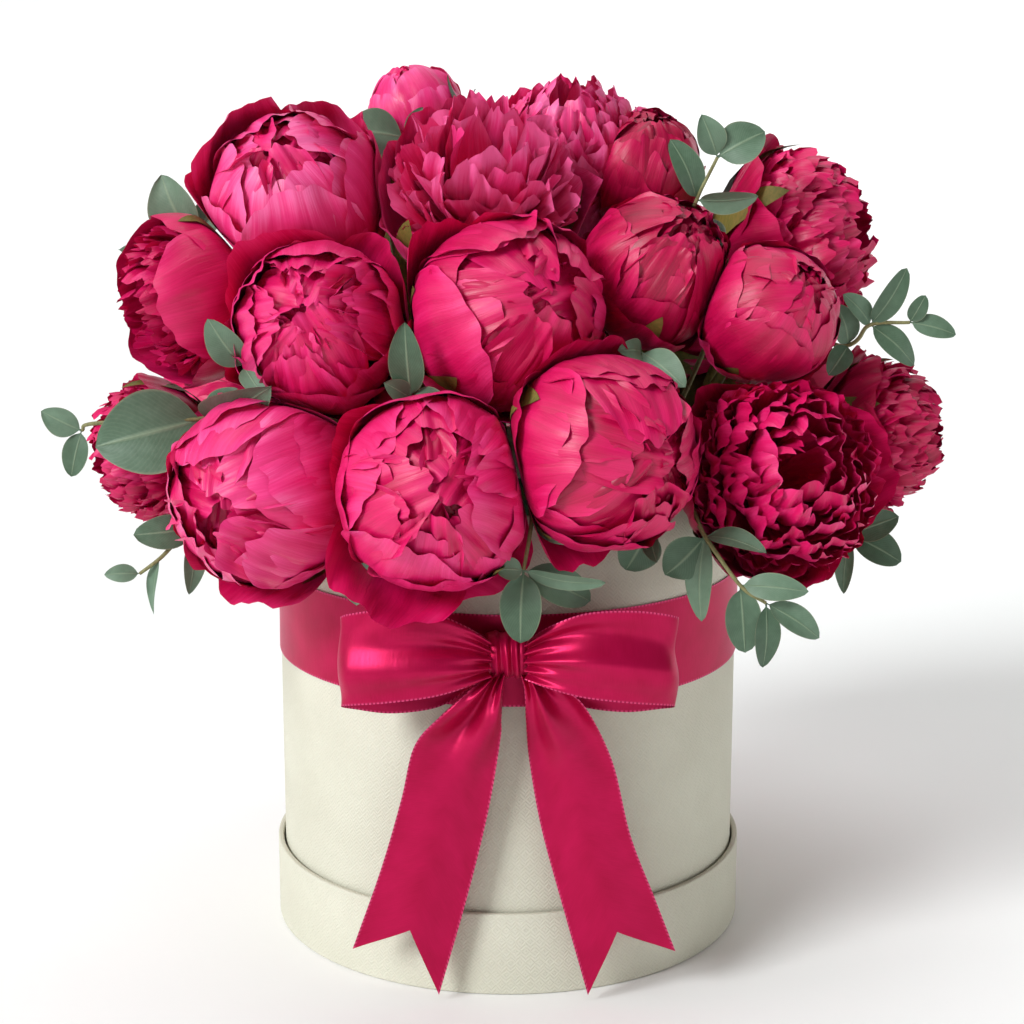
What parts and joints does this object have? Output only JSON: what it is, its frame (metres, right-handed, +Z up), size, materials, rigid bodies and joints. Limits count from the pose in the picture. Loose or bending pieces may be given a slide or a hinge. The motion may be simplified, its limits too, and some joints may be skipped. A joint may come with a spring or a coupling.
{
  "type": "box of peonies",
  "caption": "Round cream hat box standing in its lid, filled with cerise peonies and eucalyptus set in wet foam, with a wide satin ribbon tied in a bow at the front.",
  "frame": {"origin": "middle of the lid's underside, the face that the object stands on", "axes": "+Z up along the box's axis, -Y towards the front, where the bow is"},
  "size_m": [0.381, 0.326, 0.373],
  "materials": {
    "cream_paper": "rigid board wrapped in cream paper with a fine woven emboss, matte",
    "cream_lining": "plain cream lining paper, matte",
    "liner_plastic": "thin waterproof tub, satin",
    "floral_foam": "soaked green floral foam, matte and crumbly",
    "cerise_satin": "cerise satin ribbon with a fine woven edge, soft sheen",
    "cerise_petals": "cerise peony petals, silky and veined, on green stems with green sepals",
    "eucalyptus_leaf": "sage green waxy leaves with a pale midrib, matte"
  },
  "bodies": {
    "lid": {"lid_rim": "cream_paper", "lid_panel": "cream_paper"},
    "box": {"box_wall": "cream_paper", "box_floor": "cream_lining", "liner": "liner_plastic", "floral_foam": "floral_foam", "ribbon_band": "cerise_satin", "bow_knot": "cerise_satin", "bow_loop_left": "cerise_satin", "bow_loop_right": "cerise_satin", "bow_tail_left": "cerise_satin", "bow_tail_right": "cerise_satin", "peony_low_left": "cerise_petals", "peony_low_middle_left": "cerise_petals", "peony_low_middle_right": "cerise_petals", "peony_low_right": "cerise_petals", "peony_low_far_right": "cerise_petals", "peony_low_far_left": "cerise_petals", "peony_mid_far_left": "cerise_petals", "peony_mid_left": "cerise_petals", "peony_mid_centre": "cerise_petals", "peony_mid_right": "cerise_petals", "peony_mid_far_right": "cerise_petals", "peony_high_left": "cerise_petals", "peony_high_centre": "cerise_petals", "peony_high_right": "cerise_petals", "peony_high_far_right": "cerise_petals", "peony_top": "cerise_petals", "peony_top_bud": "cerise_petals", "peony_back_low_right": "cerise_petals", "peony_back_low_middle_right": "cerise_petals", "peony_back_low_middle_left": "cerise_petals", "peony_back_low_left": "cerise_petals", "peony_back_mid_right": "cerise_petals", "peony_back_mid": "cerise_petals", "peony_back_mid_left": "cerise_petals", "peony_back_high_right": "cerise_petals", "peony_back_high_left": "cerise_petals", "eucalyptus_front_middle": "eucalyptus_leaf", "eucalyptus_front_right": "eucalyptus_leaf", "eucalyptus_front_middle_right": "eucalyptus_leaf", "eucalyptus_front_middle_left": "eucalyptus_leaf", "eucalyptus_front_left": "eucalyptus_leaf", "eucalyptus_left": "eucalyptus_leaf", "eucalyptus_high_left": "eucalyptus_leaf", "eucalyptus_top_left": "eucalyptus_leaf", "eucalyptus_top_spike": "eucalyptus_leaf", "eucalyptus_high_right": "eucalyptus_leaf", "eucalyptus_right": "eucalyptus_leaf", "eucalyptus_low_right": "eucalyptus_leaf", "eucalyptus_centre": "eucalyptus_leaf", "eucalyptus_middle_right": "eucalyptus_leaf", "eucalyptus_middle_left": "eucalyptus_leaf", "eucalyptus_back_left": "eucalyptus_leaf", "eucalyptus_back_middle": "eucalyptus_leaf", "eucalyptus_back_right": "eucalyptus_leaf"}
  },
  "joints": [
    {"name": "box_lift", "type": "slide", "parent": "lid", "child": "box", "axis": [0, 0, 1], "range_m": [0, 0.08]}
  ]
}
